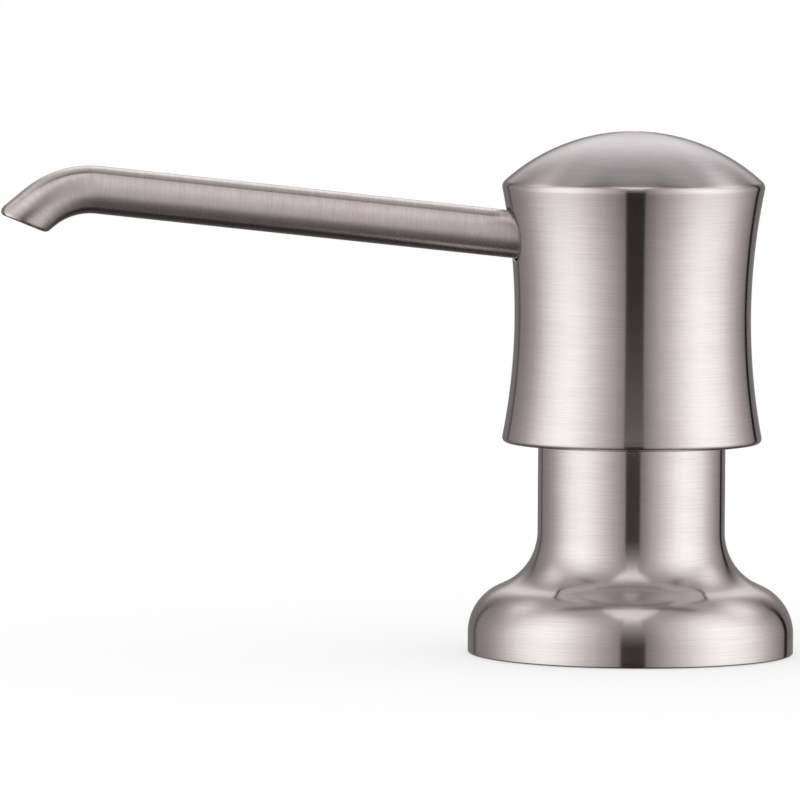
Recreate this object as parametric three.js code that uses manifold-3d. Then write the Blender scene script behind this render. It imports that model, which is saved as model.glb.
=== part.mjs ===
// Deck-mounted soap pump dispenser, the unit above the worktop. Millimetres, +Z up.
// The origin is on the pump's axis in the worktop's surface, and the spout points along -X.
import * as THREE from 'three';
import { mergeVertices } from 'three/addons/utils/BufferGeometryUtils.js';
import Module from 'manifold-3d';

const wasm = await Module();
wasm.setup();

const DEG = Math.PI / 180;

// Clearances
const GAP = 0.3; // between pieces that meet or slide

// Deck flange and neck
const FLANGE_R = 27.3;
const EDGE_Z = 3.35; // top of the flange's upright edge
const EDGE_ROUND = 0.3;
const SHOULDER_R = 8.5; // convex round of the bell
const SHOULDER_TURN = 65.6 * DEG;
const FLARE_R = 9.8; // concave round that leads into the neck
const NECK_R = 15.7;
const NECK_TOP = 40;
const NECK_BORE = 13.4;
const SOCKET_R = 13.9; // female thread that takes the shank from below
const SOCKET_TOP = 12;
const SHOULDER_BORE = 12.2;
const SEAT_Z = 14.5; // floor that the neck liner stands on
const GROOVE_IN = 19.6;
const GROOVE_OUT = 23.9;
const GROOVE_DEEP = 1.7;

// Head: waisted sleeve under a spherical dome
const SLEEVE_Z = 35.35;
const WAIST_R = 19.8;
const WAIST_Z = 56.5;
const WAIST_CURVE = 106.6;
const SLEEVE_ROUND = 0.8;
const DOME_R = 32.1;
const DOME_TOP = 87.5;
const DOME_Z = DOME_TOP - DOME_R; // centre of the dome's sphere
const DOME_ROUND = 1.4;
const WALL = 1.7;

// Spout
const SPOUT_R = 3.96;
const SPOUT_BORE = 3.15;
const SPOUT_Z = 68.1; // height of the spout's line on the pump's axis
const SPOUT_RISE = 6.23 * DEG;
const SPOUT_START = 7.2; // inner end, measured along the spout's line
const BEND_X = 90.5; // where the bend starts, measured from the pump's axis
const BEND_R = 13.3;
const BEND_TURN = 45.3 * DEG;
const TIP_LENGTH = 3.91;
const TIP_CUT = 28.9 * DEG;
const LIP_X = -106.5; // where the mouth's sharp upper corner is taken off
const SPOUT_HOLE_R = 4.45;

// Pump engine
const TRAVEL = 13; // stroke of the head
const LINER_IN = 11.9;
const RIM_R = 15.2; // liner, collar and seal on the neck's rim
const CYLINDER_R = 8.6;
const CYLINDER_BORE = 7;
const CYLINDER_TOP = 44;
const LEDGE_Z = 15; // floor of the cylinder's bore
const FOOT_BORE = 1.9;
const BALL_R = 2.4;
const CHAMBER_R = 3.3;
const STEM_R = 4;
const STEM_BORE = 2;
const STEM_TOP = 61.3;
const PISTON_Z = 35.4;
const PISTON_R = 6.6;
const PISTON_H = 4;
const SPRING_R = 5.5;
const SPRING_WIRE = 0.45; // radius
const SPRING_TURNS = 5;
const CAGE_TOP = 16.4;
const NUB_TOP = 18; // nub of the cage, inside the spring
const SPIGOT_R = 3.6; // takes the dip tube
const SPIGOT_Z = 1.5;
const SPIGOT_TOP = 6.5;
const CONE_TOP = 10; // the cylinder's cone, above the spigot
const INLET_SEAT = 9.6;
const CHAMBER_Z = 11; // floor of the inlet ball's chamber
const COLLAR_FOOT = 34;
const COLLAR_LIP = 42.5;
const COLLAR_TOP = 44.3;
const SEAL_Z = 41.4; // ring under the collar's lip
const SEAL_TOP = 42.4;
const GUIDE_FOOT = 41;
const GUIDE_LIP = 44.4;
const GUIDE_TOP = 45.2;
const WIPER_R = 5.4;
const WIPER_Z = 43;
const WIPER_TOP = 44.3;
const RING_LAND = 1.2; // piston, below and above its ring
const RING_ROOT = 5.2;
const RING_R = 6.85;
const PISTON_SPIGOT = 2.8; // spigot of the piston, in the stem
const SPIGOT_H = 3;

// Actuator core in the head
const HUB_Z = GUIDE_TOP + TRAVEL + 0.5; // lower face, just clear of the guide at full stroke
const HUB_R = 11;
const CORE_TOP = 75.5;
const BOSS_R = 7.9;
const BOSS_END = 15.5;
const FERRULE_R = 6.3;
const POST_R = 5.2; // swivel post on the stem
const POST_TOP = 69;
const POST_FLANGE = 7;
const POST_FLANGE_Z = 60.2;
const POST_FLANGE_TOP = 61.7;
const POST_DUCT = 1.5;
const POST_CHAMBER_TOP = 66.5;
const DISC_Z = 73; // disc that centres the core in the shell
const DISC_R = 18.9;
const CORE_SEAL_R = 6.4;
const CORE_SEAL_Z = 62.7;
const CORE_SEAL_TOP = 63.9;
const DUCT_RISE = 2.2; // duct to the spout, above the spout's line
const SPOUT_SEAL_R = 5.2;
const SPOUT_SEAL_IN = 9.2;
const SPOUT_SEAL_OUT = 10.3;
const FERRULE_IN = 12;
const FERRULE_OUT = 16.2;

const SIDES_SHELL = 40;
const SIDES_INNER = 20;

const p = (r, z) => new THREE.Vector2(r, z);

// Points of an arc round (r, z), both ends included.
function arc(r, z, radius, from, to, steps) {
  const points = [];
  for (let i = 0; i <= steps; i += 1) {
    const angle = from + ((to - from) * i) / steps;
    points.push(p(r + radius * Math.cos(angle), z + radius * Math.sin(angle)));
  }
  return points;
}

// Solid of revolution about Z from a closed outline in (r, z).
function turned(outline, sides = SIDES_INNER) {
  const area = THREE.ShapeUtils.area(outline);
  const points = area > 0 ? outline.slice() : outline.slice().reverse();
  if (points.every((point) => point.x > 1e-6)) points.push(points[0].clone());
  const geometry = new THREE.LatheGeometry(points, sides);
  geometry.rotateX(90 * DEG);
  return geometry;
}

// Ring of rectangular section.
function ring(inner, outer, z0, z1, sides) {
  return turned([p(inner, z0), p(outer, z0), p(outer, z1), p(inner, z1)], sides);
}

// Soft ring with an oval section.
function softRing(inner, outer, z0, z1) {
  const outline = [];
  const corners = 8;
  for (let i = 0; i < corners; i += 1) {
    const angle = (i + 0.5) * 2 * Math.PI / corners;
    outline.push(p(
      (inner + outer) / 2 + (outer - inner) / 2 * Math.cos(angle) / Math.cos(Math.PI / corners),
      (z0 + z1) / 2 + (z1 - z0) / 2 * Math.sin(angle) / Math.cos(Math.PI / corners),
    ));
  }
  return turned(outline);
}

function solid(geometry) {
  const bare = geometry.index ? geometry.toNonIndexed() : geometry.clone();
  bare.deleteAttribute('normal');
  bare.deleteAttribute('uv');
  const merged = mergeVertices(bare, 1e-4);
  return new wasm.Manifold(new wasm.Mesh({
    numProp: 3,
    vertProperties: new Float32Array(merged.attributes.position.array),
    triVerts: new Uint32Array(merged.index.array),
  }));
}

function geometryOf(manifold) {
  const mesh = manifold.getMesh();
  const geometry = new THREE.BufferGeometry();
  geometry.setAttribute('position', new THREE.BufferAttribute(mesh.vertProperties, 3));
  geometry.setIndex(new THREE.BufferAttribute(mesh.triVerts, 1));
  geometry.computeVertexNormals();
  return geometry;
}

// Upright bar of radius r from z0 to z1, centred on (x, y).
function bar(radius, z0, z1, x = 0, y = 0, sides = SIDES_INNER) {
  const geometry = new THREE.CylinderGeometry(radius, radius, z1 - z0, sides);
  geometry.rotateX(90 * DEG);
  geometry.translate(x, y, (z0 + z1) / 2);
  return geometry;
}

// Bar along the spout's line, between two distances from the pump's axis.
function spoutBar(radius, from, to, sides = SIDES_INNER) {
  const geometry = new THREE.CylinderGeometry(radius, radius, to - from, sides);
  geometry.rotateZ(90 * DEG);
  geometry.translate(-(from + to) / 2, 0, 0);
  geometry.rotateY(SPOUT_RISE);
  geometry.translate(0, 0, SPOUT_Z);
  return geometry;
}

function materialOf(color, roughness, metalness) {
  return new THREE.MeshStandardMaterial({ color, roughness, metalness });
}

const NICKEL = materialOf(0xb3aaa6, 0.32, 1);
const STEEL = materialOf(0xc4c6c8, 0.2, 1);
const WHITE_PLASTIC = materialOf(0xe9e7e1, 0.45, 0);
const GREY_PLASTIC = materialOf(0x8c8f92, 0.5, 0);
const BLACK_RUBBER = materialOf(0x1c1c1d, 0.8, 0);

function piece(name, geometry, material) {
  const mesh = new THREE.Mesh(geometry, material);
  mesh.name = name;
  return mesh;
}

// --- Deck flange ---------------------------------------------------------------------------

// Outline of the bell, from its upright edge to the neck: convex round, short slope, flare.
function bellOutline() {
  const cos = Math.cos(SHOULDER_TURN);
  const sin = Math.sin(SHOULDER_TURN);
  const slope = (FLANGE_R - NECK_R - (SHOULDER_R + FLARE_R) * (1 - cos)) / sin;
  const shoulder = p(FLANGE_R - SHOULDER_R, EDGE_Z);
  const reach = SHOULDER_R + FLARE_R;
  const flare = p(shoulder.x + reach * cos - slope * sin, shoulder.y + reach * sin + slope * cos);
  return [
    ...arc(shoulder.x, shoulder.y, SHOULDER_R, 0, SHOULDER_TURN, 6),
    ...arc(flare.x, flare.y, FLARE_R, Math.PI + SHOULDER_TURN, Math.PI, 6),
  ];
}

function baseFlange() {
  return turned([
    p(GROOVE_OUT, 0),
    ...arc(FLANGE_R - EDGE_ROUND, EDGE_ROUND, EDGE_ROUND, -90 * DEG, 0, 2),
    ...bellOutline(),
    p(NECK_R, NECK_TOP),
    p(NECK_BORE, NECK_TOP),
    p(NECK_BORE, SEAT_Z),
    p(SHOULDER_BORE, SEAT_Z),
    p(SHOULDER_BORE, SOCKET_TOP),
    p(SOCKET_R, SOCKET_TOP),
    p(SOCKET_R, 0.8),
    p(SOCKET_R + 0.8, 0),
    p(GROOVE_IN, 0),
    p(GROOVE_IN, GROOVE_DEEP),
    p(GROOVE_OUT, GROOVE_DEEP),
  ], SIDES_SHELL);
}

function neckLiner() {
  const outer = NECK_BORE - GAP;
  const lip = NECK_TOP + 0.1;
  return turned([
    p(LINER_IN, SEAT_Z + 0.1),
    p(outer, SEAT_Z + 0.1),
    p(outer, lip),
    p(RIM_R, lip),
    p(RIM_R, lip + 1.1),
    p(LINER_IN, lip + 1.1),
  ]);
}

// --- Pump ----------------------------------------------------------------------------------

function pumpCollar() {
  const inner = CYLINDER_R + GAP;
  const skirt = LINER_IN - GAP;
  return turned([
    p(inner, COLLAR_FOOT),
    p(skirt, COLLAR_FOOT),
    p(skirt, COLLAR_LIP),
    p(RIM_R, COLLAR_LIP),
    p(RIM_R, COLLAR_TOP),
    p(inner, COLLAR_TOP),
  ]);
}

function cylinder() {
  const shoulder = 0.9;
  return turned([
    p(FOOT_BORE, SPIGOT_Z),
    p(SPIGOT_R, SPIGOT_Z),
    p(SPIGOT_R, SPIGOT_TOP),
    p(SPIGOT_R + shoulder, SPIGOT_TOP),
    p(CYLINDER_R, CONE_TOP),
    p(CYLINDER_R, CYLINDER_TOP),
    p(CYLINDER_BORE, CYLINDER_TOP),
    p(CYLINDER_BORE, LEDGE_Z),
    p(CHAMBER_R, LEDGE_Z),
    p(CHAMBER_R, CHAMBER_Z),
    p(FOOT_BORE, INLET_SEAT),
  ]);
}

// Ball that rests on the rim of a round seat.
function valveBall(seatR, seatZ) {
  const geometry = new THREE.SphereGeometry(BALL_R, 12, 8);
  const rest = Math.sqrt(BALL_R ** 2 - seatR ** 2);
  geometry.rotateX(90 * DEG);
  geometry.translate(0, 0, seatZ + rest + 0.1);
  return geometry;
}

// Perforated plug over the inlet ball, with a nub that centres the spring.
function ballCage() {
  const nubFoot = 4.2;
  const nubTip = 3.6;
  let cage = solid(turned([
    p(0, LEDGE_Z + 0.1),
    p(CYLINDER_BORE - GAP, LEDGE_Z + 0.1),
    p(CYLINDER_BORE - GAP, CAGE_TOP),
    p(nubFoot, CAGE_TOP),
    p(nubTip, NUB_TOP),
    p(0, NUB_TOP),
  ]));
  const ports = 3;
  const portR = 0.9;
  const portRing = 2;
  for (let i = 0; i < ports; i += 1) {
    const angle = (i * 2 * Math.PI) / ports;
    cage = cage.subtract(solid(bar(
      portR, LEDGE_Z - 1, NUB_TOP + 1, portRing * Math.cos(angle), portRing * Math.sin(angle), 10,
    )));
  }
  return geometryOf(cage);
}

class SpringLine extends THREE.Curve {
  constructor(radius, z0, z1, turns) {
    super();
    Object.assign(this, { radius, z0, z1, turns });
  }

  getPoint(t, target = new THREE.Vector3()) {
    const angle = t * this.turns * 2 * Math.PI;
    const z = this.z0 + (this.z1 - this.z0) * t;
    return target.set(this.radius * Math.cos(angle), this.radius * Math.sin(angle), z);
  }
}

function returnSpring() {
  const section = new THREE.Shape();
  section.absarc(0, 0, SPRING_WIRE, 0, 2 * Math.PI);
  const line = new SpringLine(
    SPRING_R, CAGE_TOP + SPRING_WIRE + 0.1, PISTON_Z - SPRING_WIRE - 0.1, SPRING_TURNS,
  );
  return new THREE.ExtrudeGeometry(section, {
    steps: SPRING_TURNS * 10, curveSegments: 3, extrudePath: line, bevelEnabled: false,
  });
}

function stemGuide() {
  const bore = STEM_R + GAP;
  const groove = WIPER_R + 0.2;
  return turned([
    p(bore, GUIDE_FOOT),
    p(CYLINDER_BORE - GAP, GUIDE_FOOT),
    p(CYLINDER_BORE - GAP, GUIDE_LIP),
    p(HUB_R, GUIDE_LIP),
    p(HUB_R, GUIDE_TOP),
    p(bore, GUIDE_TOP),
    p(bore, WIPER_TOP + 0.1),
    p(groove, WIPER_TOP + 0.1),
    p(groove, WIPER_Z - 0.1),
    p(bore, WIPER_Z - 0.1),
  ]);
}

// --- Plunger -------------------------------------------------------------------------------

function stem() {
  const foot = PISTON_Z + PISTON_H + 0.2;
  const socket = PISTON_SPIGOT + GAP;
  const socketTop = PISTON_Z + PISTON_H + SPIGOT_H + 0.4;
  return turned([
    p(socket, foot),
    p(STEM_R, foot),
    p(STEM_R, STEM_TOP),
    p(STEM_BORE, STEM_TOP),
    p(STEM_BORE, socketTop),
    p(socket, socketTop),
  ]);
}

function piston() {
  const top = PISTON_Z + PISTON_H;
  const bore = 1.7;
  return turned([
    p(bore, PISTON_Z),
    p(PISTON_R, PISTON_Z),
    p(PISTON_R, PISTON_Z + RING_LAND),
    p(RING_ROOT, PISTON_Z + RING_LAND),
    p(RING_ROOT, top - RING_LAND),
    p(PISTON_R, top - RING_LAND),
    p(PISTON_R, top),
    p(PISTON_SPIGOT, top),
    p(PISTON_SPIGOT, top + SPIGOT_H),
    p(bore, top + SPIGOT_H),
  ]);
}

function pistonSeal() {
  const play = 0.1;
  return softRing(
    RING_ROOT + 0.2, RING_R, PISTON_Z + RING_LAND + play, PISTON_Z + PISTON_H - RING_LAND - play,
  );
}

// Swivel post on the stem: it keeps the outlet ball, and its flange carries the head.
function stemCap() {
  const socket = STEM_R + 0.15;
  const chamber = CHAMBER_R - 0.2;
  return turned([
    p(socket, HUB_Z),
    p(POST_R, HUB_Z),
    p(POST_R, POST_FLANGE_Z),
    p(POST_FLANGE, POST_FLANGE_Z),
    p(POST_FLANGE, POST_FLANGE_TOP),
    p(POST_R, POST_FLANGE_TOP),
    p(POST_R, POST_TOP),
    p(POST_DUCT, POST_TOP),
    p(POST_DUCT, POST_CHAMBER_TOP),
    p(chamber, POST_CHAMBER_TOP),
    p(chamber, STEM_TOP + 0.1),
    p(socket, STEM_TOP + 0.1),
  ]);
}

// --- Head ----------------------------------------------------------------------------------

// The upper point where the circle of radius a round (0, 0) meets that of radius b round (x, y).
function crossing(a, b, x, y) {
  const far = Math.hypot(x, y);
  const along = (far ** 2 + a ** 2 - b ** 2) / (2 * far);
  const aside = Math.sqrt(a ** 2 - along ** 2);
  return p((x * along - y * aside) / far, (y * along + x * aside) / far);
}

function headOutline() {
  const curveR = WAIST_R + WAIST_CURVE;
  const corner = crossing(
    DOME_R - DOME_ROUND, WAIST_CURVE + DOME_ROUND, curveR, WAIST_Z - DOME_Z,
  );
  const wallTurn = Math.atan2(corner.y - (WAIST_Z - DOME_Z), curveR - corner.x);
  const domeTurn = Math.atan2(corner.y, corner.x);
  const footZ = SLEEVE_Z + SLEEVE_ROUND;
  const footTurn = -Math.asin((WAIST_Z - footZ) / (WAIST_CURVE + SLEEVE_ROUND));
  const footR = curveR - (WAIST_CURVE + SLEEVE_ROUND) * Math.cos(footTurn);
  return [
    ...arc(footR, footZ, SLEEVE_ROUND, -90 * DEG, -footTurn, 3),
    ...arc(curveR, WAIST_Z, WAIST_CURVE, Math.PI - footTurn, Math.PI - wallTurn, 8).slice(1),
    ...arc(corner.x, corner.y + DOME_Z, DOME_ROUND, -wallTurn, domeTurn, 3).slice(1),
    ...arc(0, DOME_Z, DOME_R, domeTurn, 90 * DEG, 5).slice(1, -1),
    p(0, DOME_TOP),
  ];
}

function headLining() {
  const curveR = WAIST_R + WAIST_CURVE;
  const lining = WAIST_CURVE + WALL;
  const domeR = DOME_R - WALL;
  const corner = crossing(domeR, lining, curveR, WAIST_Z - DOME_Z);
  const wallTurn = Math.atan2(corner.y - (WAIST_Z - DOME_Z), curveR - corner.x);
  const domeTurn = Math.atan2(corner.y, corner.x);
  const footTurn = -Math.asin((WAIST_Z - SLEEVE_Z) / lining);
  return [
    p(0, DOME_TOP - WALL),
    ...arc(0, DOME_Z, domeR, 90 * DEG, domeTurn, 3).slice(1, -1),
    ...arc(curveR, WAIST_Z, lining, Math.PI - wallTurn, Math.PI - footTurn, 5),
  ];
}

function headShell() {
  const shell = solid(turned([...headLining(), ...headOutline()], SIDES_SHELL));
  return geometryOf(shell.subtract(solid(spoutBar(SPOUT_HOLE_R, BOSS_END, DOME_R))));
}

function actuatorCore() {
  const body = solid(turned([
    p(0, HUB_Z),
    p(HUB_R, HUB_Z),
    p(HUB_R, DISC_Z),
    p(DISC_R, DISC_Z),
    p(DISC_R, CORE_TOP),
    p(0, CORE_TOP),
  ]));
  const clear = BOSS_END + 8; // beyond the hub and the disc
  const cuts = [
    bar(POST_FLANGE + GAP, HUB_Z - 1, POST_FLANGE_TOP + GAP),
    bar(POST_R + GAP, POST_FLANGE_Z, POST_TOP + GAP),
    bar(CORE_SEAL_R + GAP, CORE_SEAL_Z - 0.2, CORE_SEAL_TOP + 0.2),
    bar(POST_DUCT, POST_TOP, POST_TOP + 2),
    spoutBar(POST_DUCT, -1, SPOUT_START).translate(0, 0, DUCT_RISE),
    spoutBar(SPOUT_R + GAP, SPOUT_START - GAP, clear),
    spoutBar(SPOUT_SEAL_R + GAP, SPOUT_SEAL_IN - GAP, SPOUT_SEAL_OUT + GAP),
    spoutBar(FERRULE_R + GAP, FERRULE_IN - GAP, clear),
  ];
  const cut = cuts.reduce((left, hole) => left.subtract(solid(hole)), (
    body.add(solid(spoutBar(BOSS_R, 0, BOSS_END)))
  ));
  return geometryOf(cut);
}

// Hollow bar along the spout's line.
function spoutRing(inner, outer, from, to) {
  return geometryOf(solid(spoutBar(outer, from, to)).subtract(
    solid(spoutBar(inner, from - 1, to + 1)),
  ));
}

function spoutSeal() {
  return spoutRing(SPOUT_R + GAP, SPOUT_SEAL_R, SPOUT_SEAL_IN, SPOUT_SEAL_OUT);
}

function spoutFerrule() {
  return spoutRing(SPOUT_R + GAP, FERRULE_R, FERRULE_IN, FERRULE_OUT);
}

// Centre line of the spout, by distance: straight run, bend and tip.
class SpoutLine extends THREE.Curve {
  constructor(start, tip) {
    super();
    this.start = start;
    this.straight = BEND_X / Math.cos(SPOUT_RISE) - start;
    this.bend = BEND_R * BEND_TURN;
    this.tip = tip;
  }

  getPoint(t, target = new THREE.Vector3()) {
    const way = t * (this.straight + this.bend + this.tip);
    const run = Math.min(way, this.straight);
    const turn = THREE.MathUtils.clamp((way - this.straight) / BEND_R, 0, BEND_TURN);
    const tip = Math.max(way - this.straight - this.bend, 0);
    const heading = SPOUT_RISE - turn;
    const out = (this.start + run) * Math.cos(SPOUT_RISE)
      + BEND_R * (Math.sin(SPOUT_RISE) - Math.sin(heading)) + tip * Math.cos(heading);
    const up = (this.start + run) * Math.sin(SPOUT_RISE)
      + BEND_R * (Math.cos(heading) - Math.cos(SPOUT_RISE)) + tip * Math.sin(heading);
    return target.set(-out, 0, SPOUT_Z + up);
  }
}

function spoutSweep(radius, start, tip) {
  const section = new THREE.Shape();
  section.absarc(0, 0, radius, 0, 2 * Math.PI);
  return new THREE.ExtrudeGeometry(section, {
    steps: 30, curveSegments: 8, extrudePath: new SpoutLine(start, tip), bevelEnabled: false,
  });
}

function spoutTube() {
  const spare = 4;
  const tube = solid(spoutSweep(SPOUT_R, SPOUT_START, TIP_LENGTH + spare)).subtract(
    solid(spoutSweep(SPOUT_BORE, SPOUT_START - 1, TIP_LENGTH + spare + 1)),
  );
  const waste = new THREE.BoxGeometry(20, 20, 20);
  waste.translate(10, 0, 0);
  waste.rotateY(Math.PI + SPOUT_RISE - BEND_TURN - TIP_CUT);
  const end = new SpoutLine(SPOUT_START, TIP_LENGTH).getPoint(1);
  waste.translate(end.x, end.y, end.z);
  const corner = new THREE.BoxGeometry(20, 20, 20);
  corner.translate(LIP_X - 10, 0, SPOUT_Z);
  return geometryOf(tube.subtract(solid(waste)).subtract(solid(corner)));
}

// --- Assembly ------------------------------------------------------------------------------

function base() {
  const group = new THREE.Group();
  group.add(
    piece('base_flange', baseFlange(), NICKEL),
    piece('deck_gasket', ring(GROOVE_IN + GAP, GROOVE_OUT - GAP, 0, GROOVE_DEEP - GAP), BLACK_RUBBER),
    piece('neck_liner', neckLiner(), WHITE_PLASTIC),
  );
  return group;
}

function pump() {
  const group = new THREE.Group();
  group.add(
    piece('collar_seal', softRing(NECK_BORE, RIM_R, SEAL_Z, SEAL_TOP), BLACK_RUBBER),
    piece('pump_collar', pumpCollar(), GREY_PLASTIC),
    piece('cylinder', cylinder(), WHITE_PLASTIC),
    piece('inlet_ball', valveBall(FOOT_BORE, INLET_SEAT), STEEL),
    piece('ball_cage', ballCage(), GREY_PLASTIC),
    piece('return_spring', returnSpring(), STEEL),
    piece('stem_guide', stemGuide(), GREY_PLASTIC),
    piece('stem_wiper', softRing(STEM_R + 0.15, WIPER_R, WIPER_Z, WIPER_TOP), BLACK_RUBBER),
  );
  return group;
}

function plunger() {
  const group = new THREE.Group();
  group.add(
    piece('piston', piston(), GREY_PLASTIC),
    piece('piston_seal', pistonSeal(), BLACK_RUBBER),
    piece('stem', stem(), WHITE_PLASTIC),
    piece('outlet_ball', valveBall(STEM_BORE, STEM_TOP), STEEL),
    piece('stem_cap', stemCap(), WHITE_PLASTIC),
  );
  return group;
}

function head() {
  const group = new THREE.Group();
  group.add(
    piece('swivel_ring', ring(POST_R + GAP, POST_FLANGE, HUB_Z + 0.2, POST_FLANGE_Z - 0.2), STEEL),
    piece('core_seal', softRing(POST_R + 0.15, CORE_SEAL_R, CORE_SEAL_Z, CORE_SEAL_TOP), BLACK_RUBBER),
    piece('actuator_core', actuatorCore(), WHITE_PLASTIC),
    piece('head_shell', headShell(), NICKEL),
    piece('spout_tube', spoutTube(), NICKEL),
    piece('spout_seal', spoutSeal(), BLACK_RUBBER),
    piece('spout_ferrule', spoutFerrule(), STEEL),
  );
  return group;
}

const dispenser = new THREE.Group();
dispenser.add(base(), pump(), plunger(), head());

export default dispenser;
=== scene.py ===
"""Soap pump dispenser: the visual model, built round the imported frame.

Lengths in the outlines are millimetres, as in the part's own drawing; the meshes are in metres.
Z is the pump's axis, z = 0 the worktop, and the spout points along -X.
"""

import math

import bmesh
import bpy
from mathutils import Matrix, Vector


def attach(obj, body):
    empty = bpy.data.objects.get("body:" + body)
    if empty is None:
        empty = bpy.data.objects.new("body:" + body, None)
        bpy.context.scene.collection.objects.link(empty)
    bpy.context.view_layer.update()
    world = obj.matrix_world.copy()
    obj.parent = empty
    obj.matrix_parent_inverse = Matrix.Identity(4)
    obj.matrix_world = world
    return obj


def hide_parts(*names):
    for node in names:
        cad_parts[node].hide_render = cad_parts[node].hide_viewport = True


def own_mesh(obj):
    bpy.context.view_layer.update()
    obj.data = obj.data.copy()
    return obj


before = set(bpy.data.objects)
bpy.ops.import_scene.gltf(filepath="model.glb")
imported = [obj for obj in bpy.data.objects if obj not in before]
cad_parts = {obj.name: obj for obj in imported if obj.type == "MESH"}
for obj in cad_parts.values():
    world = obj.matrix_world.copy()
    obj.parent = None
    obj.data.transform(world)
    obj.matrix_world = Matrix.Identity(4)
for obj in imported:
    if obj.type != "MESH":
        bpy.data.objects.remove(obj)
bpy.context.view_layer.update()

MM = 0.001
DEG = math.pi / 180
TINY = 1e-6
UP = Matrix.Identity(4)
SKIN = "_skin"

# Deck flange and neck
FLANGE_R = 27.3
EDGE_Z = 3.35
EDGE_ROUND = 0.3
SHOULDER_R = 8.5
SHOULDER_TURN = 65.6 * DEG
FLARE_R = 9.8
NECK_R = 15.7
NECK_TOP = 40.0
NECK_BORE = 13.4
SOCKET_R = 13.9
SOCKET_TOP = 12.0
SHOULDER_BORE = 12.2
SEAT_Z = 14.5
GROOVE_IN = 19.6
GROOVE_OUT = 23.9
GROOVE_DEEP = 1.7

# Head
SLEEVE_Z = 35.35
SLEEVE_ROUND = 0.8
WAIST_R = 19.8
WAIST_Z = 56.5
WAIST_CURVE = 106.6
DOME_R = 32.1
DOME_TOP = 87.5
DOME_Z = DOME_TOP - DOME_R
DOME_ROUND = 1.4
WALL = 1.7

# Spout
SPOUT_R = 3.96
SPOUT_BORE = 3.15
SPOUT_Z = 68.1
SPOUT_RISE = 6.23 * DEG
SPOUT_START = 7.2
BEND_X = 90.5
BEND_R = 13.3
BEND_TURN = 45.3 * DEG
TIP_LENGTH = 3.91
TIP_CUT = 28.9 * DEG
SPOUT_HOLE_R = 4.45

# Pump engine
GAP = 0.3
CONTACT = 0.1  # gap that is left where one piece rests on another
LINER_IN = 11.9
LINER_LIP = 1.1  # thickness
RIM_R = 15.2
CYLINDER_R = 8.6
CYLINDER_BORE = 7.0
CYLINDER_TOP = 44.0
LEDGE_Z = 15.0
SPIGOT_R = 3.6
SPIGOT_Z = 1.5
SPIGOT_TOP = 6.5
BARB_R = 4.5
CONE_TOP = 10.0
FOOT_BORE = 1.9
INLET_SEAT = 9.6
BALL_R = 2.4
CHAMBER_R = 3.3
CHAMBER_Z = 11.0
STEM_R = 4.0
STEM_BORE = 2.0
STEM_TOP = 61.3
STEM_SOCKET_R = 3.1  # takes the piston's spigot
STEM_SOCKET_TOP = 42.8
PISTON_Z = 35.4
PISTON_R = 6.6
PISTON_H = 4.0
PISTON_BORE = 1.7
PISTON_SPIGOT = 2.8
PISTON_SPIGOT_H = 3.0
RING_ROOT = 5.2
RING_LOW = 1.2  # groove of the piston's ring, above the piston's lower face
RING_HIGH = 2.8
SPRING_R = 5.5
SPRING_WIRE = 0.45
CAGE_TOP = 16.4
NUB_TOP = 18.0  # nub of the cage, inside the spring
NUB_FOOT_R = 4.2
NUB_R = 3.6
PORTS = 3
PORT_R = 0.9
PORT_RING = 2.0
GUIDE_FOOT = 41.0
GUIDE_LIP = 44.4
GUIDE_TOP = 45.2
GUIDE_GROOVE_R = 5.6
GUIDE_GROOVE_Z = 42.9
HUB_Z = 58.7
HUB_R = 11.0
DISC_Z = 73.0  # disc that centres the core in the shell
DISC_R = 18.9
CORE_TOP = 75.5
BOSS_R = 7.9
BOSS_END = 15.5
BOSS_CLEAR = 8.0  # how far the cuts for the spout run past the boss
CUT_PAST = 1.0  # how far other cuts run past what they open
SEAL_ROOM = 0.2
FERRULE_R = 6.3
FERRULE_IN = 12.0
FERRULE_OUT = 16.2
POST_R = 5.2
POST_TOP = 69.0
POST_DUCT = 1.5
POST_CHAMBER_TOP = 66.5
POST_FLANGE = 7.0
POST_FLANGE_Z = 60.2
POST_FLANGE_TOP = 61.7
DUCT_TOP = 71.0
DUCT_RISE = 2.2  # duct to the spout, above the spout's line

# Meshing
SHARP = 35  # degrees between two faces, from which their edge is drawn sharp
CUT_SHARP = 30
FINE_STEP = 2 * DEG
EASE_LEAST = 12 * DEG  # corners that turn less than this stay as they are
EASE_SHARE = 0.45  # of a side, that one rounded corner may take
EASE_STEPS = 4
OVAL_SIDES = 20
OVAL_POWER = 2.6
FLANGE_SIDES = 256
FLANGE_PIECE = 1.5  # longest straight stretch of the outline
ENGINE_SIDES = 128
ENGINE_PIECE = 3
BALL_SIDES = 64
PORT_SIDES = 32
SHELL_SIDES = 192
SPOUT_SIDES = 96
SPOUT_PIECE = 1.5
BEND_STEP = 1.5 * DEG
TIP_ROWS = 10
WIRE_SIDES = 16
WIRE_STEPS = 56  # per turn
PATCH_LOW = 64.2
PATCH_HIGH = 76.6
PATCH_CELLS = 18
PATCH_RINGS = 8
RIM_EASE = 0.25
RIM_ROWS = ((0.1, 0.06), (0.03, 0.15), (0.0, 0.3))  # (wider than the hole, behind its face)
MOUTH_EASE = 0.56
MOUTH_INNER_EASE = 0.1
LIP_ROUND = 1.13
FINE_EASE = 0.2
SMALL_EASE = 0.25
BROAD_EASE = 0.4
WALL_SEARCH = (10.0, 30.0)  # distances from the axis between which the spout meets the wall
HALVINGS = 50
SOCKET_LEAD = 0.8
THREAD_PITCH = 1.6
THREAD_DEPTH = 0.45
SPRING_TURNS = 6.5
SPRING_END_TURNS = 0.8
SPRING_CLOSE = 1.04  # pitch of the end coils, in wire thicknesses
COLLAR_FOOT = 34.0
COLLAR_LIP = 42.5
COLLAR_TOP = 44.3
FERRULE_THREAD = 0.3
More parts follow.
